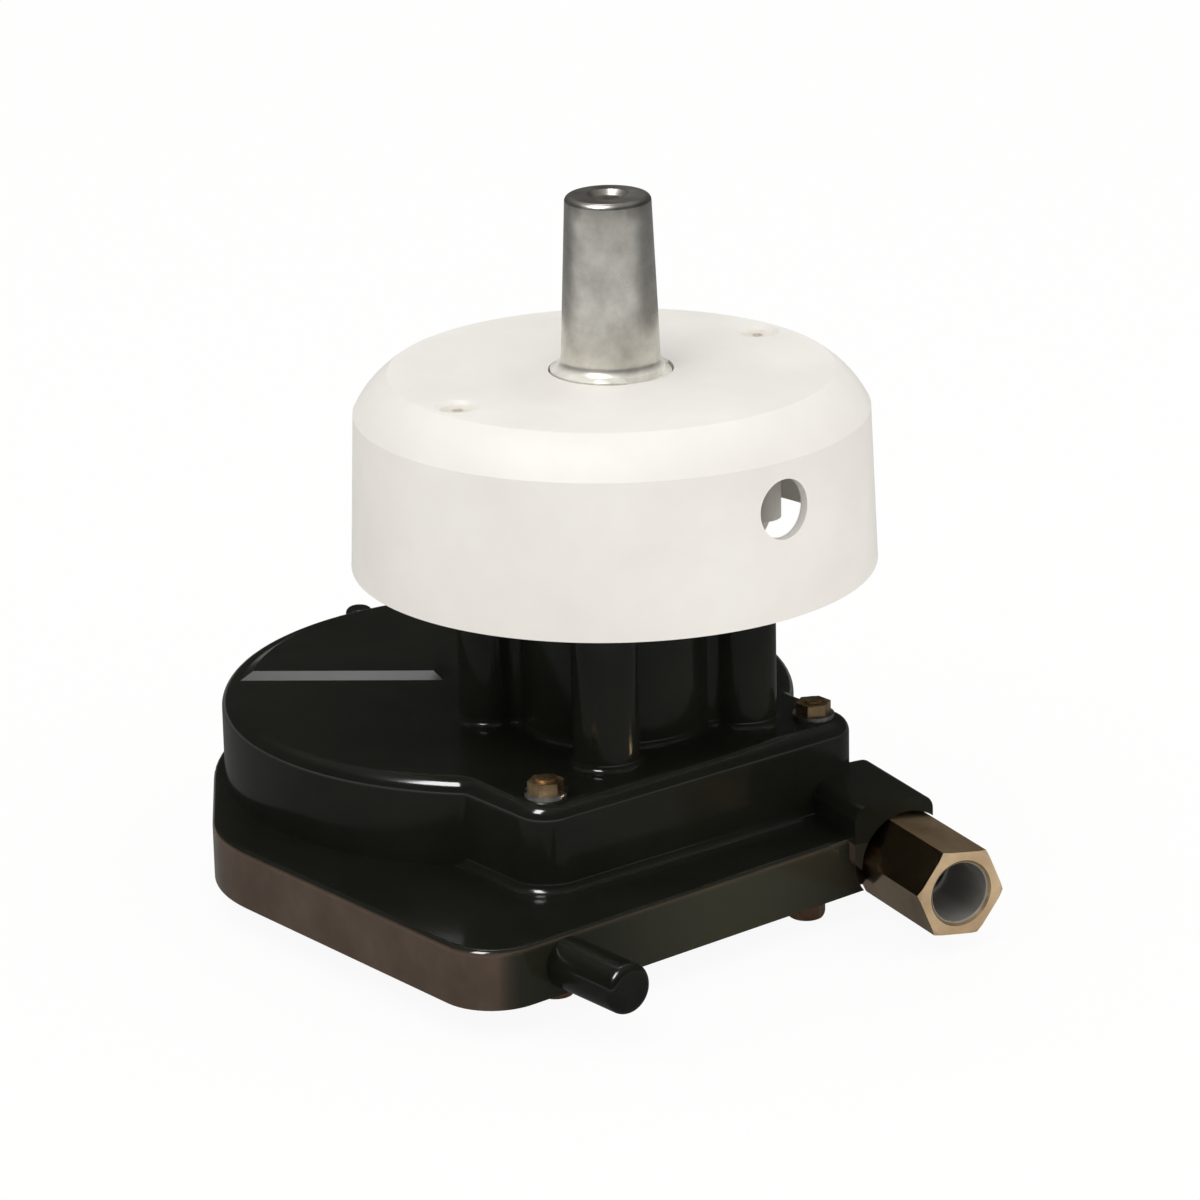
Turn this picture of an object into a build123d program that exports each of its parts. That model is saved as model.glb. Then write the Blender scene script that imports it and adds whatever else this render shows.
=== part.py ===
from build123d import *
from math import acos, cos, degrees, pi, radians, sin, tan
import os

# Rotary steering helm, in millimetres. The origin is on the wheel shaft's axis in the plane of
# the bezel's rim, which lies on the dashboard. +Z points to the wheel and +X is the way that
# the steering cable comes out.

# Clearances
running_clearance = 0.05
thread_clearance = 0.10
loose_clearance = 0.30

# Bezel
bezel_radius = 67.0
bezel_shoulder_radius = 65.4
bezel_shoulder_z = 40.0
bezel_top_radius = 56.5
bezel_height = 50.0
bezel_shoulder_bulge = 0.9
bezel_wall = 2.4
bezel_top_wall = 3.5
bezel_hole_radius = 15.9
bezel_collar_wall = 4.0
bezel_rib_width = 2.0
bezel_rib_depth = 7.0
bezel_rib_count = 8
bezel_tube_radius = 5.7
side_hole_radius = 7.6
side_hole_y = -0.4
side_hole_z = 28.0

# Screws that hold the bezel to the dashboard
bezel_screw_spacing = 98.6
bezel_screw_radius = 2.4
bezel_screw_length = 56.0
bezel_screw_head_radius = 4.6
bezel_screw_sink = 1.0
bezel_screw_point = 5.0
screw_socket_radius = 1.6
screw_socket_depth = 1.4

# Wheel shaft
shaft_tip_z = 95.0
taper_base_z = 53.6
taper_base_radius = 12.6
taper_on_diameter = 1 / 12
collar_radius = 15.4
collar_top_z = 50.3
collar_height = 3.6
collar_flare_hollow = 0.4
collar_relief_depth = 0.9
collar_relief_inner_radius = 13.7
collar_relief_start = -25.0
collar_relief_arc = 95.0
shoulder_radius = 13.5
journal_radius = 12.0
spigot_radius = 6.0
spigot_past_circlip = 1.6
tip_edge_radius = 1.6
tip_hole_radius = 4.25
tip_hole_chamfer = 1.3
tip_hole_depth = 22.0

# Half-round key for the wheel, in the taper on the side away from the cable
wheel_key_width = 4.8
wheel_key_radius = 9.5
wheel_key_flat = 1.9
wheel_key_z = 71.0
wheel_key_stands_out = 2.4

# Neck with the shaft's bearings
hub_top_z = 12.0
hub_radius = 19.9
neck_tube_radius = 24.5
column_count = 4
column_circle_radius = 32.5
column_radius = 8.5
column_thread_radius = 2.5
column_thread_depth = 16.0
neck_corner_radius = 3.0
neck_foot_fillet = 2.0
bushing_wall = 3.0
bushing_flange_radius = 17.0
bushing_flange = 1.5
upper_bushing_top_z = 4.0
upper_bushing_length = 18.0
lower_bushing_top_z = -30.0
seal_height = 6.0
thrust_washer_thickness = 0.8
thrust_washer_gap = 0.3
shaft_end_play = 0.2

# Retaining rings, for the wheel shaft, the pinion and the drum
circlip_thickness = 1.0
circlip_groove_depth = 0.7
circlip_width = 2.4
circlip_gap_angle = 50.0

# Gears
gear_module = 1.75
pinion_teeth = 12
ring_teeth = 60
pressure_angle = 20.0
gear_backlash = 0.28
pinion_outer_radius = 12.25
pinion_root_radius = 8.3
ring_tip_radius = 51.5
ring_root_clearance = 1.25
ring_overcut = 0.5
gear_face = 16.0
ring_face = 17.0
flank_steps = 4
pinion_key_width = 3.0
pinion_key_height = 3.0
pinion_key_seat = 1.7
pinion_above_drum = 0.7
drum_direction = 183.55

# Cable, which is not part of the helm
cable_pitch_radius = 64.8
cable_groove_radius = 3.7
cable_z = -73.8
cable_bore_radius = 4.2
inlet_yaw = 12.8
cable_tooth_count = 48
cable_tooth_radius = 1.5
cable_tooth_height = 6.6

# Drum
drum_rim_past_cable = 0.2
drum_rim_height = 3.6
drum_top_z = -52.6
drum_base_z = -78.4
ring_wall = 4.6
drum_web = 4.0
drum_hub_radius = 15.0
drum_hub_recess = 2.2
drum_recess_radius = 13.5
lightening_count = 6
lightening_circle = 33.0
lightening_radius = 8.0
post_radius = 8.0
post_seat = 8.0
post_bushing_wall = 2.0
post_boss_radius = 14.0
post_boss_depth = 6.4
post_washer_radius = 12.5
post_washer_thickness = 1.0
post_past_circlip = 0.4

# Housing
top_z = -43.6
plateau_step = 1.6
plateau_start = 91.0
plateau_end = 227.5
plateau_ramp = 3.0
plateau_rim_gap = 0.6
plateau_inner_radius = 17.0
ledge_z = -66.4
base_z = -81.9
drum_cover_wall = 5.4
cover_ceiling = 4.0
top_edge_fillet = 4.0
foot_fillet = 2.8
flange_edge_fillet = 1.8
flange_ledge = 3.0
flange_corners = [((-37.0, -51.2), 42.0), ((45.8, -78.7), 14.5), ((46.3, 43.3), 14.0)]
cable_face_x = 60.3
cavity_gap = 4.8
gearbox_corner_radius = 9.2
gearbox_back_x = -20.0
concave_corner_radius = 4.0

# Lug behind the drum cover
rear_lug_distance = 84.0
rear_lug_direction = 170.5
rear_lug_radius = 8.0
rear_lug_foot = 2.0
rear_lug_top_z = -53.5
rear_pip_radius = 3.7
rear_pip_top_z = -47.1
rear_pip_fillet = 1.8

# Through bolts and what they clamp
front_bolts = [(30.6, -49.0), (33.5, 37.5)]
bolt_radius = 2.5
bolt_past_nut = 0.6
bolt_head_width = 8.0
bolt_head_height = 3.5
bolt_washer_radius = 5.4
bolt_washer_thickness = 1.1
bolt_nut_width = 8.0
bolt_nut_height = 2.9

# Base cover
cover_thickness = 2.0
cover_inset = 3.0
cover_front_radius = 7.0
cover_bolt_radius = 6.2
gasket_thickness = 0.4
front_screws = [(45.1, -59.0), (49.4, 20.3)]
base_screw_radius = 2.4
base_screw_length = 11.0
base_screw_head_width = 8.6
base_screw_head_height = 6.0
base_screw_head_edge = 1.4
base_screw_flange_radius = 5.3
base_screw_flange = 1.4

# Inlet
nut_width = 21.7
nut_length = 35.0
nut_end_from_tangent = 123.6
nut_turn = -7.0
nut_bore_radius = 7.8
nut_bore_chamfer = 0.9
nut_bore_depth = 19.0
nut_edge_chamfer = 1.0
nut_pocket_radius = 12.9
nut_pocket_depth = 8.0
boss_left = 15.0
boss_right = 7.8
boss_length = 30.0
boss_top_z = -57.4
boss_below_axis = 1.0
boss_edge_fillet = 4.0
nipple_radius = 6.8
nipple_seat_radius = 5.6
nipple_inside_nut = 16.0
nipple_seat_length = 14.0

# Outlet
outlet_cap_radius = 6.5
outlet_cap_length = 24.2
outlet_cap_end_fillet = 2.2
outlet_tube_wall = 0.9
outlet_tube_in = 20.0
outlet_tube_out = 19.0

# Cable guide
guide_start = -60.0
guide_arc = 38.0
guide_gap = 0.6
guide_height = 9.3

# Worked out from the sizes above
gear_distance = gear_module * (ring_teeth - pinion_teeth) / 2
drum_x = gear_distance * cos(radians(drum_direction))
drum_y = gear_distance * sin(radians(drum_direction))
drum_axis = (drum_x, drum_y)
mesh_direction = drum_direction - 180
ring_root_radius = gear_module * (ring_teeth / 2 + ring_root_clearance)
drum_body_radius = ring_root_radius + ring_wall
drum_rim_radius = cable_pitch_radius + drum_rim_past_cable
cavity_radius = drum_rim_radius + cavity_gap
drum_cover_radius = cavity_radius + drum_cover_wall
flange_radius = drum_cover_radius + flange_ledge
cable_floor_radius = cable_pitch_radius - cable_groove_radius
outlet_y = drum_y - cable_pitch_radius
inlet_tangent_x = drum_x + cable_pitch_radius * sin(radians(inlet_yaw))
inlet_tangent_y = drum_y + cable_pitch_radius * cos(radians(inlet_yaw))
rear_lug = (
    drum_x + rear_lug_distance * cos(radians(rear_lug_direction)),
    drum_y + rear_lug_distance * sin(radians(rear_lug_direction)),
)
base_screws = front_screws + [rear_lug]
ceiling_z = top_z - cover_ceiling
cover_top_z = base_z + cover_thickness
gasket_top_z = cover_top_z + gasket_thickness
plateau_outer_radius = drum_cover_radius - top_edge_fillet - plateau_rim_gap
bushing_radius = journal_radius + bushing_wall
upper_flange_z = upper_bushing_top_z - bushing_flange
lower_flange_z = ceiling_z - bushing_flange
shoulder_z = upper_bushing_top_z + thrust_washer_thickness + running_clearance
shaft_circlip_z = lower_flange_z - shaft_end_play - circlip_thickness
pinion_top_z = drum_top_z + pinion_above_drum
pinion_base_z = pinion_top_z - gear_face
pinion_circlip_z = pinion_base_z - circlip_thickness
spigot_end_z = pinion_circlip_z - spigot_past_circlip
post_boss_z = ceiling_z - post_boss_depth
drum_hub_top_z = post_boss_z - post_washer_thickness - running_clearance
drum_hub_base_z = drum_base_z + drum_hub_recess
bottom_washer_z = drum_hub_base_z - running_clearance - post_washer_thickness
drum_circlip_z = bottom_washer_z - circlip_thickness
post_end_z = drum_circlip_z - post_past_circlip
outlet_tube_radius = cable_groove_radius + outlet_tube_wall
nut_back = nut_end_from_tangent - nut_length
boss_front = nut_back + nut_pocket_depth
nipple_back = nut_back - nipple_seat_length


def inlet_plane(distance):
    """The plane square to the inlet's axis, at a distance from where the cable meets the drum."""
    out = Vector(cos(radians(inlet_yaw)), -sin(radians(inlet_yaw)), 0)
    start = Vector(inlet_tangent_x, inlet_tangent_y, cable_z)
    return Plane(origin=start + out * distance, x_dir=(-out.Y, out.X, 0), z_dir=out)


def gear_points(teeth, inner_radius, outer_radius, extra):
    """The outline of an involute gear, whose teeth are wider by extra at the pitch circle."""
    pitch_radius = gear_module * teeth / 2
    base_radius = pitch_radius * cos(radians(pressure_angle))
    roll_at_pitch = tan(radians(pressure_angle)) - radians(pressure_angle)
    half_tooth = pi / (2 * teeth) + extra / (2 * pitch_radius)
    flank_start = max(inner_radius, base_radius)
    flank = []
    for step in range(flank_steps + 1):
        radius = flank_start + (outer_radius - flank_start) * step / flank_steps
        roll = acos(min(1.0, base_radius / radius))
        flank.append((radius, half_tooth + roll_at_pitch - (tan(roll) - roll)))
    if inner_radius < base_radius:
        flank.insert(0, (inner_radius, flank[0][1]))
    points = []
    for tooth in range(teeth):
        centre = radians(mesh_direction) + 2 * pi * tooth / teeth
        for radius, angle in flank:
            points.append((radius * cos(centre - angle), radius * sin(centre - angle)))
        for radius, angle in reversed(flank):
            points.append((radius * cos(centre + angle), radius * sin(centre + angle)))
    return points


def circlip_sketch(shaft_radius, base_z):
    """An open ring in a groove of a shaft, whose ends face +X."""
    with BuildSketch(Plane.XY.offset(base_z)) as ring:
        Circle(shaft_radius - circlip_groove_depth + circlip_width)
        Circle(shaft_radius - circlip_groove_depth, mode=Mode.SUBTRACT)
        reach = shaft_radius + 2 * circlip_width
        half_gap = radians(circlip_gap_angle / 2)
        Polygon(
            (0, 0),
            (reach * cos(half_gap), -reach * sin(half_gap)),
            (2 * reach, 0),
            (reach * cos(half_gap), reach * sin(half_gap)),
            align=None,
            mode=Mode.SUBTRACT,
        )
    return ring.sketch


def lug_sketch(radius):
    """The outline of the rear lug, out from the drum's axis."""
    with BuildSketch() as lug:
        with Locations(rear_lug):
            Circle(radius)
        with Locations(Location((drum_x, drum_y, 0), (0, 0, rear_lug_direction))):
            Rectangle(rear_lug_distance, 2 * radius, align=(Align.MIN, Align.CENTER))
    return lug.sketch


def plateau_sketch(z, inset):
    """The raised sector of the drum cover, made smaller all round by an inset."""
    centre_angle = (plateau_start + plateau_end) / 2
    outer_radius = plateau_outer_radius - inset
    inner_radius = plateau_inner_radius + inset
    outer_half = (plateau_end - plateau_start) / 2 - degrees(inset / outer_radius)
    inner_half = (plateau_end - plateau_start) / 2 - degrees(inset / inner_radius)
    with BuildSketch(Plane.XY.offset(z)) as sector:
        with BuildLine():
            inner_arc = CenterArc(
                drum_axis, inner_radius, centre_angle - inner_half, 2 * inner_half
            )
            outer_arc = CenterArc(
                drum_axis, outer_radius, centre_angle - outer_half, 2 * outer_half
            )
            Line(inner_arc @ 0, outer_arc @ 0)
            Line(inner_arc @ 1, outer_arc @ 1)
        make_face()
    return sector.sketch


def cover_sketch(z, gap):
    """The outline of the recess for the base cover, made smaller all round by a gap."""
    front_x = cable_face_x - cover_inset - cover_front_radius
    with BuildSketch(Plane.XY.offset(z)) as outline:
        with BuildLine():
            CenterArc(drum_axis, flange_radius - cover_inset - gap, 0, 360)
            for centre, radius in flange_corners[:2]:
                CenterArc(centre, radius - cover_inset - gap, 0, 360)
            CenterArc((front_x, front_screws[1][1]), cover_front_radius - gap, 0, 360)
            CenterArc(front_bolts[1], cover_bolt_radius - gap, 0, 360)
        make_hull()
        add(lug_sketch(rear_lug_radius + rear_lug_foot - cover_inset - gap))
    return outline.sketch


# Bezel: a hollow moulding with a collar round the shaft, two screw tubes and short ribs
collar_outer_radius = bezel_hole_radius + bezel_collar_wall
bezel_ceiling_z = bezel_height - bezel_top_wall
screw_places = [(0, bezel_screw_spacing / 2), (0, -bezel_screw_spacing / 2)]
with BuildPart() as bezel_space:
    with BuildSketch(Plane.XZ):
        Polygon(
            (0, 0),
            (0, hub_top_z),
            (collar_outer_radius, hub_top_z),
            (collar_outer_radius, bezel_ceiling_z),
            (bezel_top_radius - bezel_wall / 2, bezel_ceiling_z),
            (bezel_shoulder_radius - bezel_wall, bezel_shoulder_z - bezel_wall / 2),
            (bezel_radius - bezel_wall, 0),
            align=None,
        )
    revolve(axis=Axis.Z)
    with BuildSketch(Plane.XY.offset(bezel_ceiling_z)):
        with PolarLocations(0, bezel_rib_count):
            Rectangle(bezel_radius, bezel_rib_width, align=(Align.MIN, Align.CENTER))
    extrude(amount=-bezel_rib_depth, mode=Mode.SUBTRACT)
    with BuildSketch(Plane.XY):
        with Locations(*screw_places):
            Circle(bezel_tube_radius)
    extrude(amount=bezel_height, mode=Mode.SUBTRACT)

with BuildPart() as bezel:
    with BuildSketch(Plane.XZ):
        with BuildLine():
            Polyline(
                (bezel_top_radius, bezel_height),
                (0, bezel_height),
                (0, 0),
                (bezel_radius, 0),
                (bezel_shoulder_radius, bezel_shoulder_z),
            )
            SagittaArc(
                (bezel_shoulder_radius, bezel_shoulder_z),
                (bezel_top_radius, bezel_height),
                -bezel_shoulder_bulge,
            )
        make_face()
    revolve(axis=Axis.Z)
    add(bezel_space.part, mode=Mode.SUBTRACT)
    with BuildSketch(Plane.XY):
        Circle(bezel_hole_radius)
    extrude(amount=bezel_height, mode=Mode.SUBTRACT)
    with Locations(*[(x, y, bezel_height) for x, y in screw_places]):
        CounterSinkHole(
            bezel_screw_radius + loose_clearance,
            bezel_screw_head_radius + bezel_screw_sink,
            counter_sink_angle=90,
        )
    with BuildSketch(Plane.YZ.offset(bezel_radius - 2 * bezel_wall)):
        with Locations((side_hole_y, side_hole_z)):
            Circle(side_hole_radius)
    extrude(amount=3 * bezel_wall, mode=Mode.SUBTRACT)

# Bezel screws
screw_top_z = bezel_height - bezel_screw_sink
with BuildPart() as bezel_screw:
    with BuildSketch(Plane.XZ):
        head_base_z = screw_top_z - (bezel_screw_head_radius - bezel_screw_radius)
        screw_end_z = screw_top_z - bezel_screw_length
        Polygon(
            (0, screw_top_z),
            (bezel_screw_head_radius, screw_top_z),
            (bezel_screw_radius, head_base_z),
            (bezel_screw_radius, screw_end_z + bezel_screw_point),
            (0, screw_end_z),
            align=None,
        )
    revolve(axis=Axis.Z)
    with BuildSketch(Plane.XY.offset(screw_top_z)):
        RegularPolygon(screw_socket_radius, 6)
    extrude(amount=-screw_socket_depth, mode=Mode.SUBTRACT)

with BuildPart() as bezel_screws:
    with Locations(*screw_places):
        add(bezel_screw.part)

# Wheel shaft
taper_tip_radius = taper_base_radius - (shaft_tip_z - taper_base_z) * taper_on_diameter / 2
flare_mid_radius = (collar_radius + taper_base_radius) / 2
flare_mid_z = (collar_top_z + taper_base_z) / 2
with BuildPart() as input_shaft:
    with BuildSketch(Plane.XZ):
        with BuildLine():
            Polyline(
                (taper_base_radius, taper_base_z),
                (taper_tip_radius, shaft_tip_z),
                (0, shaft_tip_z),
                (0, spigot_end_z),
                (spigot_radius, spigot_end_z),
                (spigot_radius, pinion_circlip_z),
                (spigot_radius - circlip_groove_depth, pinion_circlip_z),
                (spigot_radius - circlip_groove_depth, pinion_base_z),
                (spigot_radius, pinion_base_z),
                (spigot_radius, pinion_top_z),
                (journal_radius, pinion_top_z),
                (journal_radius, shaft_circlip_z),
                (journal_radius - circlip_groove_depth, shaft_circlip_z),
                (journal_radius - circlip_groove_depth, shaft_circlip_z + circlip_thickness),
                (journal_radius, shaft_circlip_z + circlip_thickness),
                (journal_radius, shoulder_z),
                (shoulder_radius, shoulder_z),
                (shoulder_radius, collar_top_z - collar_height),
                (collar_radius, collar_top_z - collar_height),
                (collar_radius, collar_top_z),
            )
            ThreePointArc(
                (collar_radius, collar_top_z),
                (
                    flare_mid_radius + (taper_base_radius - flare_mid_radius) * collar_flare_hollow,
                    flare_mid_z + (collar_top_z - flare_mid_z) * collar_flare_hollow,
                ),
                (taper_base_radius, taper_base_z),
            )
        make_face()
    revolve(axis=Axis.Z)
    fillet(input_shaft.faces().sort_by(Axis.Z)[-1].edges(), tip_edge_radius)
    with Locations((0, 0, shaft_tip_z)):
        CounterSinkHole(
            tip_hole_radius,
            tip_hole_radius + tip_hole_chamfer,
            depth=tip_hole_depth,
            counter_sink_angle=90,
        )
    with BuildSketch(Plane.XY.offset(collar_top_z - collar_relief_depth)):
        with BuildLine():
            inner_arc = CenterArc(
                (0, 0), collar_relief_inner_radius, collar_relief_start, collar_relief_arc
            )
            outer_arc = CenterArc(
                (0, 0), 2 * collar_radius, collar_relief_start, collar_relief_arc
            )
            Line(inner_arc @ 0, outer_arc @ 0)
            Line(inner_arc @ 1, outer_arc @ 1)
        make_face()
    extrude(amount=taper_base_z - collar_top_z, mode=Mode.SUBTRACT)
    key_radius_here = taper_base_radius - (wheel_key_z - taper_base_z) * taper_on_diameter / 2
    key_outer_x = -(key_radius_here + wheel_key_stands_out)
    with BuildSketch(Plane.XZ.offset(-wheel_key_width / 2)):
        with Locations((key_outer_x - wheel_key_flat, wheel_key_z)):
            Circle(wheel_key_radius)
    extrude(amount=wheel_key_width, mode=Mode.SUBTRACT)
    with BuildSketch(Plane.XY.offset(pinion_base_z)):
        with Locations(Location((0, 0, 0), (0, 0, mesh_direction))):
            with Locations((spigot_radius - pinion_key_seat, 0)):
                Rectangle(
                    pinion_key_height, pinion_key_width, align=(Align.MIN, Align.CENTER)
                )
    extrude(amount=gear_face, mode=Mode.SUBTRACT)

# Half-round key for the wheel
with BuildPart() as wheel_key:
    with BuildSketch(Plane.XZ.offset(-wheel_key_width / 2)):
        with Locations((key_outer_x - wheel_key_flat, wheel_key_z)):
            Circle(wheel_key_radius)
        with Locations((key_outer_x, wheel_key_z)):
            Rectangle(
                2 * wheel_key_radius,
                2 * wheel_key_radius,
                align=(Align.MAX, Align.CENTER),
                mode=Mode.SUBTRACT,
            )
    extrude(amount=wheel_key_width)

# Housing: flange, gear box, drum cover with its raised part, rear lug, neck and inlet boss
with BuildSketch() as gearbox_outline:
    with BuildLine():
        for x, y in front_bolts:
            CenterArc((x, y), gearbox_corner_radius, 0, 360)
            CenterArc((gearbox_back_x, y), gearbox_corner_radius, 0, 360)
    make_hull()

with BuildPart() as rear_pip:
    with BuildSketch(Plane.XY.offset(ledge_z)):
        with Locations(rear_lug):
            Circle(rear_pip_radius)
    extrude(amount=rear_pip_top_z - ledge_z)
    fillet(rear_pip.faces().sort_by(Axis.Z)[-1].edges(), rear_pip_fillet)

with BuildPart() as housing:
    with BuildSketch(Plane.XY.offset(base_z)):
        with BuildLine():
            CenterArc(drum_axis, flange_radius, 0, 360)
            for centre, radius in flange_corners:
                CenterArc(centre, radius, 0, 360)
        make_hull()
        add(lug_sketch(rear_lug_radius + rear_lug_foot))
    extrude(amount=ledge_z - base_z)
    fillet(housing.faces().sort_by(Axis.Z)[-1].edges(), flange_edge_fillet)

    extrude(gearbox_outline.sketch.moved(Location((0, 0, ledge_z))), amount=top_z - ledge_z)
    fillet(housing.edges(Select.LAST).group_by(Axis.Z)[0], foot_fillet)

    with BuildSketch(Plane.XY.offset(ledge_z)) as tier_outline:
        with Locations(drum_axis):
            Circle(drum_cover_radius)
        add(gearbox_outline.sketch)
        fillet(tier_outline.vertices().sort_by(Axis.X)[:2], concave_corner_radius)
    extrude(amount=top_z - ledge_z)
    fillet(housing.faces().sort_by(Axis.Z)[-1].edges(), top_edge_fillet)

    loft([plateau_sketch(top_z, 0), plateau_sketch(top_z + plateau_step, plateau_ramp)], ruled=True)

    # Lug at the back with a round pip on it
    with BuildSketch(Plane.XY.offset(ledge_z)):
        add(lug_sketch(rear_lug_radius))
    extrude(amount=rear_lug_top_z - ledge_z)
    add(rear_pip.part)

    with BuildSketch(Plane.XY.offset(top_z)) as neck_outline:
        Circle(neck_tube_radius)
        with PolarLocations(column_circle_radius, column_count, 360 / column_count / 2):
            Circle(column_radius)
        fillet(
            neck_outline.vertices().filter_by(
                lambda vertex: Vector(vertex).length < column_circle_radius
            ),
            neck_corner_radius,
        )
    extrude(amount=-top_z)
    fillet(housing.edges(Select.LAST).group_by(Axis.Z)[0], neck_foot_fillet)
    with BuildSketch(Plane.XY):
        Circle(hub_radius)
    extrude(amount=hub_top_z)

    with BuildSketch(inlet_plane(boss_front)) as boss_face:
        with Locations(((boss_right - boss_left) / 2, -boss_below_axis)):
            Rectangle(
                boss_left + boss_right,
                boss_top_z - cable_z + boss_below_axis,
                align=(Align.CENTER, Align.MIN),
            )
        fillet(boss_face.vertices().group_by(Axis.Z)[-1], boss_edge_fillet)
    extrude(amount=-boss_length)

    # Inside, a round space for the drum and the boss for its post
    with BuildSketch(Plane.XY.offset(base_z)):
        with Locations(drum_axis):
            Circle(cavity_radius)
    extrude(amount=ceiling_z - base_z, mode=Mode.SUBTRACT)
    with BuildSketch(Plane.XY.offset(post_boss_z)):
        with Locations(drum_axis):
            Circle(post_boss_radius)
    extrude(amount=post_boss_depth)
    with BuildSketch(Plane.XY.offset(post_boss_z)):
        with Locations(drum_axis):
            Circle(post_radius)
    extrude(amount=post_seat, mode=Mode.SUBTRACT)

    # Bore for the shaft
    with BuildSketch(Plane.XY.offset(ceiling_z)):
        Circle(bushing_radius)
    extrude(amount=hub_top_z - ceiling_z, mode=Mode.SUBTRACT)
    with BuildSketch(Plane.XY.offset(upper_flange_z)):
        Circle(bushing_flange_radius)
    extrude(amount=hub_top_z - upper_flange_z, mode=Mode.SUBTRACT)
    with BuildSketch(Plane.XY):
        with PolarLocations(column_circle_radius, column_count, 360 / column_count / 2):
            Circle(column_thread_radius)
    extrude(amount=-column_thread_depth, mode=Mode.SUBTRACT)

    # Recess for the base cover, and the holes for its screws and the through bolts
    extrude(cover_sketch(base_z, 0), amount=gasket_top_z - base_z, mode=Mode.SUBTRACT)
    with BuildSketch(Plane.XY.offset(base_z)):
        with Locations(*base_screws):
            Circle(base_screw_radius)
    extrude(amount=base_screw_length, mode=Mode.SUBTRACT)
    with BuildSketch(Plane.XY.offset(base_z)):
        with Locations(*front_bolts):
            Circle(bolt_radius + loose_clearance)
    extrude(amount=top_z - base_z, mode=Mode.SUBTRACT)

    # Inlet: a round pocket for the nut's end, the nipple's seat and the bore for the cable
    with BuildSketch(inlet_plane(nut_back)):
        Circle(nut_pocket_radius)
    extrude(amount=nut_length, mode=Mode.SUBTRACT)
    with BuildSketch(inlet_plane(nipple_back)):
        Circle(nipple_seat_radius)
    extrude(amount=nipple_seat_length, mode=Mode.SUBTRACT)
    with BuildSketch(inlet_plane(0)):
        Circle(cable_bore_radius)
    extrude(amount=nipple_back, mode=Mode.SUBTRACT)

    # Outlet: the bore for the cable and the seat of its tube
    with BuildSketch(Plane.YZ.offset(drum_x)):
        with Locations((outlet_y, cable_z)):
            Circle(cable_bore_radius)
    extrude(amount=cable_face_x - drum_x, mode=Mode.SUBTRACT)
    with BuildSketch(Plane.YZ.offset(cable_face_x)):
        with Locations((outlet_y, cable_z)):
            Circle(outlet_tube_radius)
    extrude(amount=-outlet_tube_in, mode=Mode.SUBTRACT)

# Bearings of the shaft
with BuildPart() as upper_bushing:
    with BuildSketch(Plane.XY.offset(upper_bushing_top_z)):
        Circle(bushing_flange_radius)
    extrude(amount=-bushing_flange)
    with BuildSketch(Plane.XY.offset(upper_bushing_top_z)):
        Circle(bushing_radius)
    extrude(amount=-upper_bushing_length)
    with BuildSketch(Plane.XY.offset(upper_bushing_top_z)):
        Circle(journal_radius + running_clearance)
    extrude(amount=-upper_bushing_length, mode=Mode.SUBTRACT)

with BuildPart() as lower_bushing:
    with BuildSketch(Plane.XY.offset(lower_flange_z)):
        Circle(bushing_flange_radius)
    extrude(amount=bushing_flange)
    with BuildSketch(Plane.XY.offset(lower_flange_z)):
        Circle(bushing_radius)
    extrude(amount=lower_bushing_top_z - lower_flange_z)
    with BuildSketch(Plane.XY.offset(lower_flange_z)):
        Circle(journal_radius + running_clearance)
    extrude(amount=lower_bushing_top_z - lower_flange_z, mode=Mode.SUBTRACT)

with BuildPart() as shaft_seal:
    with BuildSketch(Plane.XY.offset(hub_top_z)):
        Circle(bushing_flange_radius)
        Circle(shoulder_radius + running_clearance, mode=Mode.SUBTRACT)
    extrude(amount=-seal_height)

with BuildPart() as thrust_washer:
    with BuildSketch(Plane.XY.offset(upper_bushing_top_z)):
        Circle(bushing_flange_radius - thrust_washer_gap)
        Circle(journal_radius + running_clearance, mode=Mode.SUBTRACT)
    extrude(amount=thrust_washer_thickness)

with BuildPart() as shaft_circlip:
    extrude(circlip_sketch(journal_radius, shaft_circlip_z), amount=circlip_thickness)

# Pinion, its key and the ring that holds it
with BuildPart() as pinion:
    with BuildSketch(Plane.XY.offset(pinion_base_z)):
        Polygon(
            *gear_points(
                pinion_teeth, pinion_root_radius, pinion_outer_radius, -gear_backlash / 2
            ),
            align=None,
        )
        Circle(spigot_radius, mode=Mode.SUBTRACT)
        with Locations(Location((0, 0, 0), (0, 0, mesh_direction))):
            with Locations((spigot_radius - pinion_key_seat, 0)):
                Rectangle(
                    pinion_key_height,
                    pinion_key_width,
                    align=(Align.MIN, Align.CENTER),
                    mode=Mode.SUBTRACT,
                )
    extrude(amount=gear_face)

with BuildPart() as pinion_key:
    with BuildSketch(Plane.XY.offset(pinion_base_z)):
        with Locations(Location((0, 0, 0), (0, 0, mesh_direction))):
            with Locations((spigot_radius - pinion_key_seat, 0)):
                Rectangle(
                    pinion_key_height, pinion_key_width, align=(Align.MIN, Align.CENTER)
                )
    extrude(amount=gear_face)

with BuildPart() as pinion_circlip:
    extrude(circlip_sketch(spigot_radius, pinion_circlip_z), amount=circlip_thickness)

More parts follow.
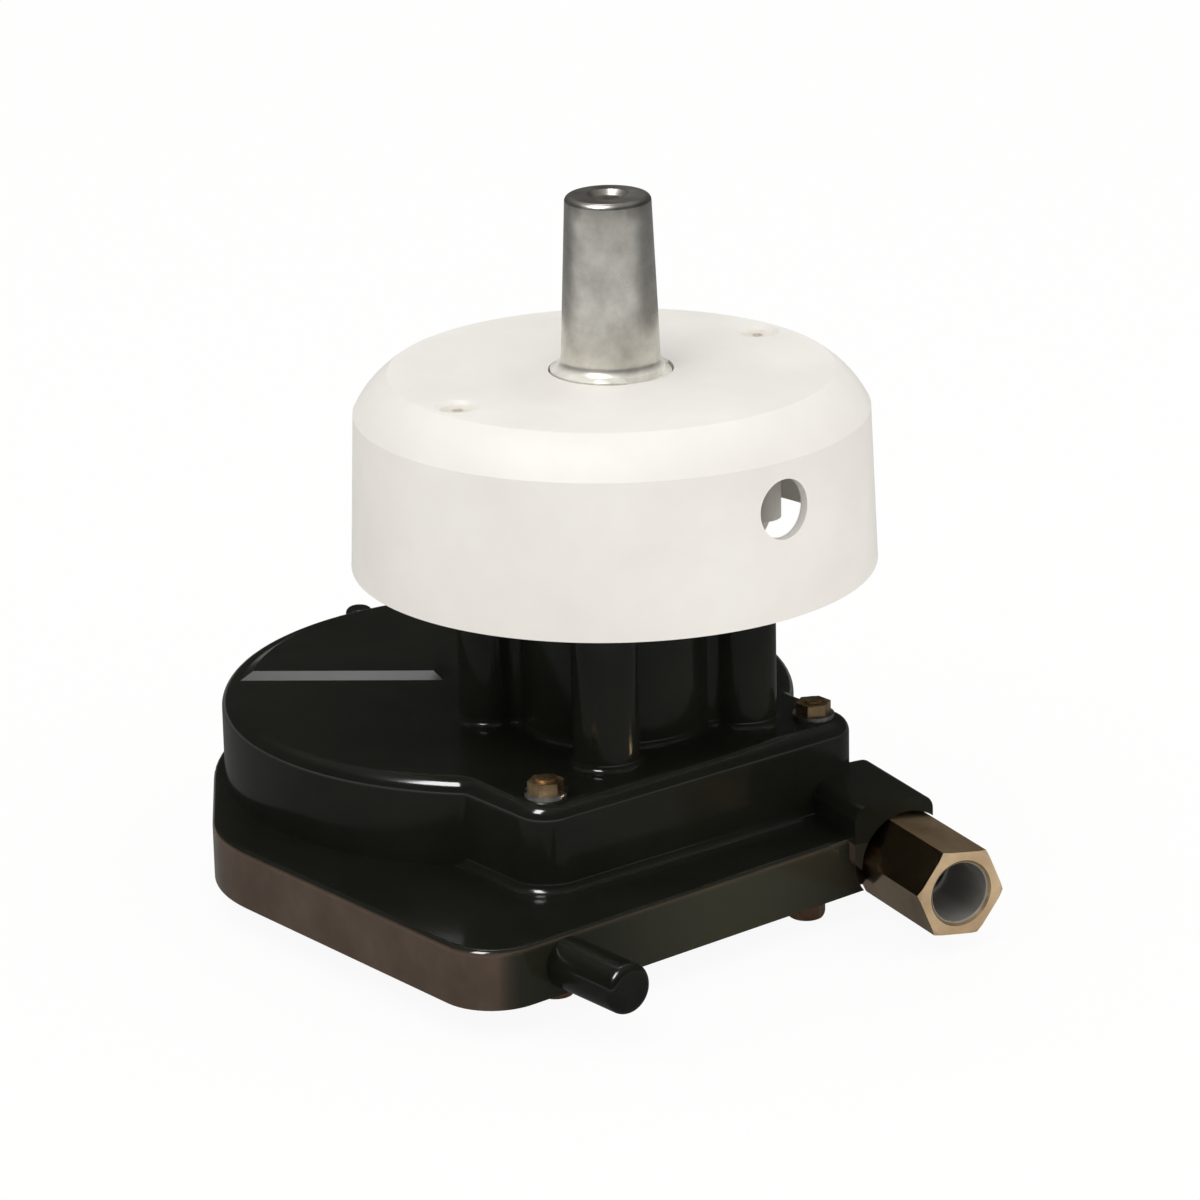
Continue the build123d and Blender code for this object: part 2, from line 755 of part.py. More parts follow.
# Drum: hub, web, internal ring gear and the groove with teeth that drive the cable
cable_lip_z = cable_z + cable_groove_radius
web_top_z = drum_base_z + drum_web
with BuildPart() as cable_drum:
    with BuildSketch(Plane.XZ):
        with BuildLine():
            Polyline(
                (cable_pitch_radius, cable_lip_z),
                (drum_rim_radius, cable_lip_z),
                (drum_rim_radius, cable_lip_z + drum_rim_height),
                (drum_body_radius, cable_lip_z + drum_rim_height),
                (drum_body_radius, drum_top_z),
                (ring_tip_radius, drum_top_z),
                (ring_tip_radius, web_top_z),
                (drum_hub_radius, web_top_z),
                (drum_hub_radius, drum_hub_top_z),
                (post_radius + post_bushing_wall, drum_hub_top_z),
                (post_radius + post_bushing_wall, drum_hub_base_z),
                (drum_recess_radius, drum_hub_base_z),
                (drum_recess_radius, drum_base_z),
                (cable_floor_radius, drum_base_z),
                (cable_floor_radius, cable_z),
            )
            RadiusArc(
                (cable_floor_radius, cable_z),
                (cable_pitch_radius, cable_lip_z),
                cable_groove_radius,
            )
        make_face()
    revolve(axis=Axis.Z)
    with BuildSketch(Plane.XY.offset(drum_top_z)):
        Polygon(
            *gear_points(
                ring_teeth, ring_tip_radius - ring_overcut, ring_root_radius, gear_backlash / 2
            ),
            align=None,
        )
    extrude(amount=-ring_face, mode=Mode.SUBTRACT)
    with BuildSketch(Plane.XY.offset(drum_base_z)):
        with PolarLocations(lightening_circle, lightening_count):
            Circle(lightening_radius)
    extrude(amount=drum_web, mode=Mode.SUBTRACT)
    with BuildSketch(Plane.XY.offset(drum_base_z)):
        with PolarLocations(cable_floor_radius, cable_tooth_count):
            Circle(cable_tooth_radius)
    extrude(amount=cable_tooth_height, mode=Mode.SUBTRACT)
cable_drum.part = cable_drum.part.moved(Location((drum_x, drum_y, 0)))

# Post that the drum turns on
with BuildPart() as drum_post:
    with BuildSketch(Plane.XY.offset(post_end_z)):
        with Locations(drum_axis):
            Circle(post_radius)
    extrude(amount=post_boss_z + post_seat - post_end_z)
    with BuildSketch(Plane.XY.offset(drum_circlip_z)):
        with Locations(drum_axis):
            Circle(post_radius)
            Circle(post_radius - circlip_groove_depth, mode=Mode.SUBTRACT)
    extrude(amount=circlip_thickness, mode=Mode.SUBTRACT)

with BuildPart() as drum_bushing:
    with BuildSketch(Plane.XY.offset(drum_hub_base_z)):
        with Locations(drum_axis):
            Circle(post_radius + post_bushing_wall)
            Circle(post_radius + running_clearance, mode=Mode.SUBTRACT)
    extrude(amount=drum_hub_top_z - drum_hub_base_z)

with BuildPart() as drum_top_washer:
    with BuildSketch(Plane.XY.offset(post_boss_z)):
        with Locations(drum_axis):
            Circle(post_washer_radius)
            Circle(post_radius + running_clearance, mode=Mode.SUBTRACT)
    extrude(amount=-post_washer_thickness)

with BuildPart() as drum_bottom_washer:
    with BuildSketch(Plane.XY.offset(bottom_washer_z)):
        with Locations(drum_axis):
            Circle(post_washer_radius)
            Circle(post_radius + running_clearance, mode=Mode.SUBTRACT)
    extrude(amount=post_washer_thickness)

with BuildPart() as drum_circlip:
    with Locations(drum_axis):
        add(extrude(circlip_sketch(post_radius, drum_circlip_z), amount=circlip_thickness,
                    mode=Mode.PRIVATE))

# Through bolts with their heads under the base, and the washers and nuts on top
bolt_end_z = top_z + bolt_washer_thickness + bolt_nut_height + bolt_past_nut
with BuildPart() as through_bolts:
    with BuildSketch(Plane.XY.offset(base_z)):
        with Locations(*front_bolts):
            RegularPolygon(bolt_head_width / 2, 6, major_radius=False)
    extrude(amount=-bolt_head_height)
    with BuildSketch(Plane.XY.offset(base_z)):
        with Locations(*front_bolts):
            Circle(bolt_radius)
    extrude(amount=bolt_end_z - base_z)

nut_places = [(x, y, top_z) for x, y in front_bolts]
with BuildPart() as bolt_washer:
    with BuildSketch(Plane.XY):
        Circle(bolt_washer_radius)
        Circle(bolt_radius + loose_clearance, mode=Mode.SUBTRACT)
    extrude(amount=bolt_washer_thickness)

with BuildPart() as bolt_washers:
    with Locations(*nut_places):
        add(bolt_washer.part)

with BuildPart() as bolt_nut:
    with BuildSketch(Plane.XY.offset(bolt_washer_thickness)):
        RegularPolygon(bolt_nut_width / 2, 6, major_radius=False)
        Circle(bolt_radius, mode=Mode.SUBTRACT)
    extrude(amount=bolt_nut_height)

with BuildPart() as bolt_nuts:
    with Locations(*nut_places):
        add(bolt_nut.part)

# Base cover, its gasket and its screws
with BuildPart() as base_cover:
    extrude(cover_sketch(base_z, loose_clearance), amount=cover_thickness)
    with BuildSketch(Plane.XY.offset(base_z)):
        with Locations(*front_bolts, *base_screws):
            Circle(bolt_radius + loose_clearance)
    extrude(amount=cover_thickness, mode=Mode.SUBTRACT)

with BuildPart() as gasket:
    extrude(cover_sketch(cover_top_z, loose_clearance), amount=gasket_thickness)
    with BuildSketch(Plane.XY.offset(cover_top_z)):
        with Locations(drum_axis):
            Circle(cavity_radius)
        with Locations(*front_bolts, *base_screws):
            Circle(bolt_radius + loose_clearance)
    extrude(amount=gasket_thickness, mode=Mode.SUBTRACT)

base_screw_head_z = -base_screw_flange - base_screw_head_height
with BuildPart() as base_screw_round:
    with BuildSketch(Plane.XY):
        Circle(base_screw_head_width / 2 / cos(pi / 6))
    extrude(amount=base_screw_head_z)
    fillet(base_screw_round.faces().sort_by(Axis.Z)[0].edges(), base_screw_head_edge)

with BuildPart() as base_screw:
    with BuildSketch(Plane.XY):
        RegularPolygon(base_screw_head_width / 2, 6, major_radius=False)
    extrude(amount=base_screw_head_z)
    add(base_screw_round.part, mode=Mode.INTERSECT)
    with BuildSketch(Plane.XY):
        Circle(base_screw_flange_radius)
    extrude(amount=-base_screw_flange)
    with BuildSketch(Plane.XY):
        Circle(base_screw_radius)
    extrude(amount=base_screw_length)

with BuildPart() as base_screws_group:
    with Locations(*[(x, y, base_z) for x, y in base_screws]):
        add(base_screw.part)

# Inlet: the hexagon nut for the cable and the nipple that it screws on
nut_corner_radius = nut_width / 2 / cos(pi / 6)
with BuildPart() as nut_round:
    with BuildSketch(inlet_plane(nut_back)):
        Circle(nut_corner_radius)
    extrude(amount=nut_length)
    chamfer(nut_round.edges().filter_by(GeomType.CIRCLE), nut_edge_chamfer / 2, nut_edge_chamfer)

with BuildPart() as inlet_nut:
    with BuildSketch(inlet_plane(nut_back)):
        RegularPolygon(nut_corner_radius, 6, rotation=nut_turn)
    extrude(amount=nut_length)
    add(nut_round.part, mode=Mode.INTERSECT)
    with BuildSketch(inlet_plane(nut_back)):
        Circle(nipple_radius + thread_clearance)
    extrude(amount=nut_length, mode=Mode.SUBTRACT)
    with BuildSketch(inlet_plane(nut_end_from_tangent)):
        Circle(nut_bore_radius)
    extrude(amount=-nut_bore_depth, mode=Mode.SUBTRACT)
    with BuildSketch(inlet_plane(nut_end_from_tangent)):
        Circle(nut_bore_radius + nut_bore_chamfer)
    extrude(amount=-nut_bore_chamfer, taper=45, mode=Mode.SUBTRACT)

with BuildPart() as inlet_nipple:
    with BuildSketch(inlet_plane(nipple_back)):
        Circle(nipple_seat_radius)
    extrude(amount=nipple_seat_length)
    with BuildSketch(inlet_plane(nut_back)):
        Circle(nipple_radius)
    extrude(amount=nipple_inside_nut)
    with BuildSketch(inlet_plane(nipple_back)):
        Circle(cable_groove_radius)
    extrude(amount=nipple_seat_length + nipple_inside_nut, mode=Mode.SUBTRACT)

# Outlet: the tube for the spent end of the cable and the black cap over it
with BuildPart() as outlet_tube:
    with BuildSketch(Plane.YZ.offset(cable_face_x - outlet_tube_in)):
        with Locations((outlet_y, cable_z)):
            Circle(outlet_tube_radius)
            Circle(cable_groove_radius, mode=Mode.SUBTRACT)
    extrude(amount=outlet_tube_in + outlet_tube_out)

with BuildPart() as outlet_cap:
    with BuildSketch(Plane.YZ.offset(cable_face_x)):
        with Locations((outlet_y, cable_z)):
            Circle(outlet_cap_radius)
    extrude(amount=outlet_cap_length)
    fillet(outlet_cap.faces().sort_by(Axis.X)[-1].edges(), outlet_cap_end_fillet)
    with BuildSketch(Plane.YZ.offset(cable_face_x)):
        with Locations((outlet_y, cable_z)):
            Circle(outlet_tube_radius)
    extrude(amount=outlet_tube_out, mode=Mode.SUBTRACT)

# Guide that keeps the cable's ends apart, on the wall of the round space
with BuildPart() as cable_guide:
    with BuildSketch(Plane.XY.offset(gasket_top_z)):
        with BuildLine():
            wall_arc = CenterArc(drum_axis, cavity_radius, guide_start, guide_arc)
            drum_arc = CenterArc(drum_axis, drum_rim_radius + guide_gap, guide_start, guide_arc)
            Line(wall_arc @ 0, drum_arc @ 0)
            Line(wall_arc @ 1, drum_arc @ 1)
        make_face()
    extrude(amount=guide_height)

pieces = {
    "bezel": bezel.part,
    "bezel_screws": bezel_screws.part,
    "input_shaft": input_shaft.part,
    "wheel_key": wheel_key.part,
    "housing": housing.part,
    "upper_bushing": upper_bushing.part,
    "lower_bushing": lower_bushing.part,
    "shaft_seal": shaft_seal.part,
    "thrust_washer": thrust_washer.part,
    "shaft_circlip": shaft_circlip.part,
    "pinion": pinion.part,
    "pinion_key": pinion_key.part,
    "pinion_circlip": pinion_circlip.part,
    "cable_drum": cable_drum.part,
    "drum_post": drum_post.part,
    "drum_bushing": drum_bushing.part,
    "drum_top_washer": drum_top_washer.part,
    "drum_bottom_washer": drum_bottom_washer.part,
    "drum_circlip": drum_circlip.part,
    "through_bolts": through_bolts.part,
    "bolt_washers": bolt_washers.part,
    "bolt_nuts": bolt_nuts.part,
    "base_cover": base_cover.part,
    "gasket": gasket.part,
    "base_screws": base_screws_group.part,
    "inlet_nut": inlet_nut.part,
    "inlet_nipple": inlet_nipple.part,
    "outlet_tube": outlet_tube.part,
    "outlet_cap": outlet_cap.part,
    "cable_guide": cable_guide.part,
}
os.makedirs("parts", exist_ok=True)
for name, piece in pieces.items():
    piece.label = name
    export_step(piece, "parts/" + name + ".step")
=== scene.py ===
import math

import bpy
import numpy as np
from mathutils import Matrix, Vector


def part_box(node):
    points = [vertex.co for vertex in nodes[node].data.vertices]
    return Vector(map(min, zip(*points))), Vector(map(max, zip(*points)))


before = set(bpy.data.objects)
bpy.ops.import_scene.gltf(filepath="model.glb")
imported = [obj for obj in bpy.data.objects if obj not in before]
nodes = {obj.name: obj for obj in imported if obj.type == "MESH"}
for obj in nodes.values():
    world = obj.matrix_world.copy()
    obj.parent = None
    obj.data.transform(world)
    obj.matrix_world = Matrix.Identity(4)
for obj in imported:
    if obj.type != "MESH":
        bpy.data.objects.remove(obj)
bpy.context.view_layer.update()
print("rotary helm: packed frame loaded,", len(nodes), "nodes")


# sRGB hex to the linear values that Blender's sockets take
def linearColor(hexCode):
    channels = [int(hexCode[i:i + 2], 16) / 255 for i in (1, 3, 5)]
    linear = [c / 12.92 if c <= 0.04045 else ((c + 0.055) / 1.055) ** 2.4 for c in channels]
    return (*linear, 1.0)


# A pattern's scale from the real size of its grain, for coordinates in metres
def perMm(size):
    return 1000 / size


# Adds a node: settings are its properties, inputs are constants or other nodes' sockets
def addNode(tree, kind, settings=None, inputs=None):
    node = tree.nodes.new(kind)
    for key, value in (settings or {}).items():
        setattr(node, key, value)
    for key, value in (inputs or {}).items():
        if isinstance(value, bpy.types.NodeSocket):
            tree.links.new(value, node.inputs[key])
        else:
            node.inputs[key].default_value = value
    return node


# Starts a material and hands back its tree, its shader and the frame's coordinates in metres
def newSurface(name, shaderInputs):
    material = bpy.data.materials.new(name)
    material.use_nodes = True
    tree = material.node_tree
    tree.nodes.clear()
    shader = addNode(tree, "ShaderNodeBsdfPrincipled", None, shaderInputs)
    addNode(tree, "ShaderNodeOutputMaterial", None, {0: shader.outputs[0]})
    place = addNode(tree, "ShaderNodeTexCoord").outputs["Object"]
    return material, tree, shader, place


# Joins the three patterns that every surface has to its shader
def dressSurface(tree, shader, color, rough, bump):
    for socketName, pattern in (("Base Color", color), ("Roughness", rough), ("Normal", bump)):
        tree.links.new(pattern, shader.inputs[socketName])


# The noises behind the patterns: their detail, and the part of their range that is used
noiseLook = {"colorDetail": 4.0, "colorRoughness": 0.6, "evenContrast": (0.35, 0.65),
             "detail": 3.0, "roughContrast": (0.3, 0.7)}


# Cloudy change between two colours, with a grain of a given size
def cloudyColor(tree, place, low, high, grainMm, contrast=noiseLook["evenContrast"]):
    noise = addNode(tree, "ShaderNodeTexNoise", None,
                    {"Vector": place, "Scale": perMm(grainMm),
                     "Detail": noiseLook["colorDetail"],
                     "Roughness": noiseLook["colorRoughness"]})
    spread = addNode(tree, "ShaderNodeMapRange", None,
                     {"Value": noise.outputs[0], "From Min": contrast[0],
                      "From Max": contrast[1]})
    mix = addNode(tree, "ShaderNodeMix", {"data_type": "RGBA"},
                  {0: spread.outputs[0], 6: linearColor(low), 7: linearColor(high)})
    return mix.outputs[2]


# Roughness that wanders between two values
def cloudyRoughness(tree, place, low, high, grainMm):
    noise = addNode(tree, "ShaderNodeTexNoise", None,
                    {"Vector": place, "Scale": perMm(grainMm), "Detail": noiseLook["detail"]})
    start, end = noiseLook["roughContrast"]
    return addNode(tree, "ShaderNodeMapRange", None,
                   {"Value": noise.outputs[0], "From Min": start, "From Max": end,
                    "To Min": low, "To Max": high}).outputs[0]


# Bump from a noise of a given grain, as deep as depthMm
def grainBump(tree, place, grainMm, depthMm, strength):
    noise = addNode(tree, "ShaderNodeTexNoise", None,
                    {"Vector": place, "Scale": perMm(grainMm), "Detail": noiseLook["detail"]})
    return addNode(tree, "ShaderNodeBump", None,
                   {"Height": noise.outputs[0], "Distance": depthMm / 1000,
                    "Strength": strength}).outputs[0]


# Seams: how near two normals have to be to count as one surface, how well a flat face's
# corners have to match it, and how finely two corners' places are compared
seams = {"withinDegrees": 15, "flatCosine": 0.99999, "stepsPerM": 1e6}


# One attribute of a mesh's corners, faces or vertices, as rows of three numbers
def vectorsOf(elements, attribute):
    values = np.empty(len(elements) * 3, np.float32)
    elements.foreach_get(attribute, values)
    return values.reshape(-1, 3)


# One whole number for each of a mesh's corners or faces
def countsOf(elements, attribute):
    values = np.empty(len(elements), np.int32)
    elements.foreach_get(attribute, values)
    return values


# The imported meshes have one-sided normals along their seams, which show as lines in a gloss.
# Corners that meet there, no more than a few degrees apart, take one normal: that of a flat
# face where there is one, and on the round pieces their mean elsewhere. No vertex is moved.
def evenSeams(mesh, isRound):
    normals = vectorsOf(mesh.corner_normals, "vector")
    corners = countsOf(mesh.polygons, "loop_total")
    faceNormals = np.repeat(vectorsOf(mesh.polygons, "normal"), corners, axis=0)
    # a face is flat where all its corners point the face's own way
    isAligned = (normals * faceNormals).sum(axis=1) > seams["flatCosine"]
    starts = np.concatenate(([0], np.cumsum(corners)[:-1]))
    flat = np.repeat(np.logical_and.reduceat(isAligned, starts), corners)
    spots = vectorsOf(mesh.vertices, "co")[countsOf(mesh.loops, "vertex_index")]
    keys = np.round(spots * seams["stepsPerM"]).astype(np.int64)
    spotNumber = np.unique(keys, axis=0, return_inverse=True)[1].reshape(-1)
    order = np.argsort(spotNumber, kind="stable")
    evened = normals.copy()
    near = math.cos(math.radians(seams["withinDegrees"]))
    for group in np.split(order, np.flatnonzero(np.diff(spotNumber[order])) + 1):
        here = normals[group]
        close = here @ here.T > near
        toFlat = close & flat[group][None, :]
        others = close if isRound else np.eye(len(group), dtype=bool)
        chosen = np.where(toFlat.any(axis=1)[:, None], toFlat, others)
        summed = chosen @ here
        summed /= np.linalg.norm(summed, axis=1)[:, None]
        evened[group] = np.where(flat[group][:, None], here, summed)
    mesh.normals_split_custom_set(evened.tolist())


# Bezel: injection-moulded ABS in off-white, an even satin with a faint spark-eroded grain
bezelLook = {"low": "#DEDAD4", "high": "#E6E3DD", "cloudMm": 55, "roughness": (0.5, 0.6),
             "roughMm": 18, "grainMm": 0.9, "grainDepthMm": 0.05, "grainStrength": 0.25,
             "ior": 1.53}


def mouldedAbs():
    look = bezelLook
    material, tree, shader, place = newSurface("mouldedAbs", {"IOR": look["ior"]})
    color = cloudyColor(tree, place, look["low"], look["high"], look["cloudMm"])
    rough = cloudyRoughness(tree, place, *look["roughness"], look["roughMm"])
    bump = grainBump(tree, place, look["grainMm"], look["grainDepthMm"], look["grainStrength"])
    dressSurface(tree, shader, color, rough, bump)
    return material


# Housing: black stoving enamel on a die casting, glossy with a slight orange peel.
# Below the flange's top edge its side walls get a brown sheen painted into the colour, a
# painted reflection.
housingLook = {"black": "#151611", "blackHigh": "#1B1C16", "cloudMm": 30,
               "roughness": (0.1, 0.18), "roughMm": 22, "specular": 0.5, "ior": 1.5,
               "peelMm": 6.0, "peelDepthMm": 0.03, "peelStrength": 0.35,
               "paintedSheen": "#53463B", "paintedSheenDark": "#42372F", "streakMm": 14,
               "streakContrast": (0.25, 0.75), "flangeTopM": -0.0667, "topEdgeM": 0.0008,
               "wallFromUp": 0.92, "wallToUp": 0.55}
# On the +X wall the painted reflection of the floor is a dark olive, weaker away from the
# wall's middle
paintedOliveWall = {"tone": "#323126", "fromX": 0.82, "toX": 0.98, "middleM": -0.012,
             "fadeFromM": 0.005, "fadeToM": 0.05, "faded": 0.3}
# Towards the far end, which faces -X, the painted reflection turns greyer
paintedGreyWall = {"tone": "#8E8A7A", "fromX": -0.3, "toX": -0.85}


# Lays a painted reflection, the brown sheen, over the enamel's colour on the flange's side
# walls
def paintedFlangeSheen(tree, place, enamel):
    look = housingLook
    spot = addNode(tree, "ShaderNodeSeparateXYZ", None, {0: place})
    facing = addNode(tree, "ShaderNodeSeparateXYZ", None,
                     {0: addNode(tree, "ShaderNodeTexCoord").outputs["Normal"]})
    below = addNode(tree, "ShaderNodeMapRange", {"interpolation_type": "SMOOTHSTEP"},
                    {"Value": spot.outputs[2], "From Min": look["flangeTopM"],
                     "From Max": look["flangeTopM"] - look["topEdgeM"]})
    upright = addNode(tree, "ShaderNodeMath", {"operation": "ABSOLUTE"}, {0: facing.outputs[2]})
    wall = addNode(tree, "ShaderNodeMapRange", None,
                   {"Value": upright.outputs[0], "From Min": look["wallFromUp"],
                    "From Max": look["wallToUp"]})
    olive, grey = (addNode(tree, "ShaderNodeMapRange", None,
                           {"Value": facing.outputs[0], "From Min": tone["fromX"],
                            "From Max": tone["toX"]}) for tone in (paintedOliveWall, paintedGreyWall))

    # the painted olive reflection fades to both sides of the wall's middle
    offset = addNode(tree, "ShaderNodeMath", {"operation": "SUBTRACT"},
                     {0: spot.outputs[1], 1: paintedOliveWall["middleM"]})
    aside = addNode(tree, "ShaderNodeMath", {"operation": "ABSOLUTE"}, {0: offset.outputs[0]})
    faded = addNode(tree, "ShaderNodeMapRange", {"interpolation_type": "SMOOTHSTEP"},
                    {"Value": aside.outputs[0], "From Min": paintedOliveWall["fadeFromM"],
                     "From Max": paintedOliveWall["fadeToM"], "To Min": 1.0,
                     "To Max": paintedOliveWall["faded"]})
    amount = addNode(tree, "ShaderNodeMix", None,
                     {0: olive.outputs[0], 2: 1.0, 3: faded.outputs[0]})
    for share in (below, wall):
        amount = addNode(tree, "ShaderNodeMath", {"operation": "MULTIPLY"},
                         {0: share.outputs[0], 1: amount.outputs[0]})

    # the painted reflection's brown, mottled, then olive or greyer by the way the wall faces
    paintedSheen = cloudyColor(tree, place, look["paintedSheenDark"], look["paintedSheen"], look["streakMm"],
                        look["streakContrast"])
    for share, tone in ((grey, paintedGreyWall["tone"]), (olive, paintedOliveWall["tone"])):
        paintedSheen = addNode(tree, "ShaderNodeMix", {"data_type": "RGBA"},
                        {0: share.outputs[0], 6: paintedSheen, 7: linearColor(tone)}).outputs[2]
    return addNode(tree, "ShaderNodeMix", {"data_type": "RGBA"},
                   {0: amount.outputs[0], 6: enamel, 7: paintedSheen}).outputs[2]


def blackEnamel(name, paintedSheenSides):
    look = housingLook
    material, tree, shader, place = newSurface(
        name, {"IOR": look["ior"], "Specular IOR Level": look["specular"]})
    color = cloudyColor(tree, place, look["black"], look["blackHigh"], look["cloudMm"])
    # the flange's side walls get the painted sheen, a reflection painted into the colour
    if paintedSheenSides:
        color = paintedFlangeSheen(tree, place, color)
    rough = cloudyRoughness(tree, place, *look["roughness"], look["roughMm"])
    bump = grainBump(tree, place, look["peelMm"], look["peelDepthMm"], look["peelStrength"])
    dressSurface(tree, shader, color, rough, bump)
    return material


# Shaft: turned steel, zinc plated, blotchy and a little uneven from handling. Dust and dried
# oil lie on the collar's flare, below collarTopM, so it is duller than the taper.
shaftLook = {"low": "#C2BEB5", "high": "#F1EEE5", "cloudMm": 7, "contrast": (0.25, 0.75),
             "roughness": (0.26, 0.38), "roughMm": 10.5, "waveMm": 5.0, "waveDepthMm": 0.05,
             "waveStrength": 0.15, "collarTopM": 0.0535, "collarFadeM": 0.003,
             "collarMetallic": 0.05}


def turnedSteel():
    look = shaftLook
    material, tree, shader, place = newSurface("turnedSteel", {})
    color = cloudyColor(tree, place, look["low"], look["high"], look["cloudMm"],
                        look["contrast"])
    rough = cloudyRoughness(tree, place, *look["roughness"], look["roughMm"])
    bump = grainBump(tree, place, look["waveMm"], look["waveDepthMm"], look["waveStrength"])
    dressSurface(tree, shader, color, rough, bump)
    height = addNode(tree, "ShaderNodeSeparateXYZ", None, {0: place}).outputs[2]
    metallic = addNode(tree, "ShaderNodeMapRange", {"interpolation_type": "SMOOTHSTEP"},
                       {"Value": height, "From Min": look["collarTopM"],
                        "From Max": look["collarTopM"] - look["collarFadeM"], "To Min": 1.0,
                        "To Max": look["collarMetallic"]})
    tree.links.new(metallic.outputs[0], shader.inputs["Metallic"])
    return material


# Fittings and screws: plated, sintered or cast metals, told apart by colour and grain
metalLooks = {
    # nickel-plated brass bar for the cable's nut, smooth, warm where it mirrors the floor
    "nickelledBrass": {"low": "#B39672", "high": "#DCC19B", "cloudMm": 16,
                       "roughness": (0.12, 0.2), "grainMm": 3.0, "depthMm": 0.02},
    # yellow-passivated zinc on the through bolts and nuts
    "yellowZinc": {"low": "#A98A62", "high": "#D9BE93", "cloudMm": 2.5,
                   "roughness": (0.25, 0.4), "grainMm": 1.0, "depthMm": 0.02},
    # clear zinc on the washers
    "clearZinc": {"low": "#9C9A95", "high": "#CFCEC9", "cloudMm": 3,
                  "roughness": (0.25, 0.4), "grainMm": 1.0, "depthMm": 0.02},
    # brown-passivated zinc on the base screws
    "brownZinc": {"low": "#8F6C50", "high": "#B8937A", "cloudMm": 3,
                  "roughness": (0.35, 0.5), "grainMm": 1.0, "depthMm": 0.03},
    # stainless steel, drawn or pressed
    "stainlessSteel": {"low": "#A8A6A2", "high": "#C9C7C2", "cloudMm": 4,
                       "roughness": (0.3, 0.42), "grainMm": 0.6, "depthMm": 0.01},
    # hobbed and ground gear steel, slightly oiled
    "gearSteel": {"low": "#77757A", "high": "#A5A3A6", "cloudMm": 5,
                  "roughness": (0.28, 0.4), "grainMm": 0.7, "depthMm": 0.015},
    # blued spring steel of the retaining rings
    "bluedSpringSteel": {"low": "#2B2C30", "high": "#4A4B50", "cloudMm": 3,
                         "roughness": (0.3, 0.42), "grainMm": 0.6, "depthMm": 0.01},
    # sintered bronze of the bushings, porous and matt
    "sinteredBronze": {"low": "#8C6A3E", "high": "#B08A58", "cloudMm": 4,
                       "roughness": (0.42, 0.56), "grainMm": 0.5, "depthMm": 0.03},
    # die-cast aluminium of the drum, dull grey with flow marks
    "castAluminium": {"low": "#84858A", "high": "#A9AAAD", "cloudMm": 20,
                      "roughness": (0.4, 0.55), "grainMm": 1.6, "depthMm": 0.04},
}
# What all of these metals share: the clouds of their roughness are wider than the colour's
metalShared = {"contrast": (0.3, 0.7), "roughOverCloud": 2, "grainStrength": 0.3}

# The cable's nut: its faced end, which looks along the bar's axis, is rougher than the drawn
# flats, its bore is grey, and the flat that looks up is dusty. All three are less metallic.
nutLook = {"axis": (0.975, -0.222, 0), "facedFrom": 0.6, "facedTo": 0.95,
           "facedRoughness": 0.4, "facedDull": 0.7, "boreM": 0.0082, "boreEdgeM": 0.0003,
           "boreColor": "#A9A7A1", "boreDull": 0.4, "dustFrom": 0.75, "dustTo": 0.95,
           "dustDull": 0.16}


# Tells the nut's end, bore and upper flat apart and hands back its colour and roughness
def machinedNut(tree, shader, place, color, rough):
    look = nutLook
    facing = addNode(tree, "ShaderNodeTexCoord").outputs["Normal"]
    along = addNode(tree, "ShaderNodeVectorMath", {"operation": "DOT_PRODUCT"},
                    {0: facing, 1: look["axis"]})
    faced = addNode(tree, "ShaderNodeMapRange", None,
                    {"Value": along.outputs["Value"], "From Min": look["facedFrom"],
                     "From Max": look["facedTo"]})
    rough = addNode(tree, "ShaderNodeMix", None,
                    {0: faced.outputs[0], 2: rough, 3: look["facedRoughness"]}).outputs[0]

    # the distance from the bar's axis tells the bore
    low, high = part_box("inlet_nut")
    offset = addNode(tree, "ShaderNodeVectorMath", {"operation": "SUBTRACT"},
                     {0: place, 1: (low + high) / 2})
    across = addNode(tree, "ShaderNodeVectorMath", {"operation": "CROSS_PRODUCT"},
                     {0: offset.outputs[0], 1: look["axis"]})
    radius = addNode(tree, "ShaderNodeVectorMath", {"operation": "LENGTH"},
                     {0: across.outputs[0]})
    inBore = addNode(tree, "ShaderNodeMapRange", None,
                     {"Value": radius.outputs["Value"], "From Min": look["boreM"],
                      "From Max": look["boreM"] - look["boreEdgeM"]})
    color = addNode(tree, "ShaderNodeMix", {"data_type": "RGBA"},
                    {0: inBore.outputs[0], 6: color,
                     7: linearColor(look["boreColor"])}).outputs[2]

    upward = addNode(tree, "ShaderNodeSeparateXYZ", None, {0: facing}).outputs[2]
    dusty = addNode(tree, "ShaderNodeMapRange", None,
                    {"Value": upward, "From Min": look["dustFrom"], "From Max": look["dustTo"]})
    metallic = 1.0
    for share, dull in ((faced, "facedDull"), (dusty, "dustDull"), (inBore, "boreDull")):
        lost = addNode(tree, "ShaderNodeMath", {"operation": "MULTIPLY"},
                       {0: share.outputs[0], 1: look[dull]})
        metallic = addNode(tree, "ShaderNodeMath", {"operation": "SUBTRACT", "use_clamp": True},
                           {0: metallic, 1: lost.outputs[0]}).outputs[0]
    tree.links.new(metallic, shader.inputs["Metallic"])
    return color, rough


def platedMetal(name):
    look = metalLooks[name]
    material, tree, shader, place = newSurface(name, {"Metallic": 1.0})
    color = cloudyColor(tree, place, look["low"], look["high"], look["cloudMm"],
                        metalShared["contrast"])
    rough = cloudyRoughness(tree, place, *look["roughness"],
                            look["cloudMm"] * metalShared["roughOverCloud"])
    if name == "nickelledBrass":
        color, rough = machinedNut(tree, shader, place, color, rough)
    bump = grainBump(tree, place, look["grainMm"], look["depthMm"],
                     metalShared["grainStrength"])
    dressSurface(tree, shader, color, rough, bump)
    return material


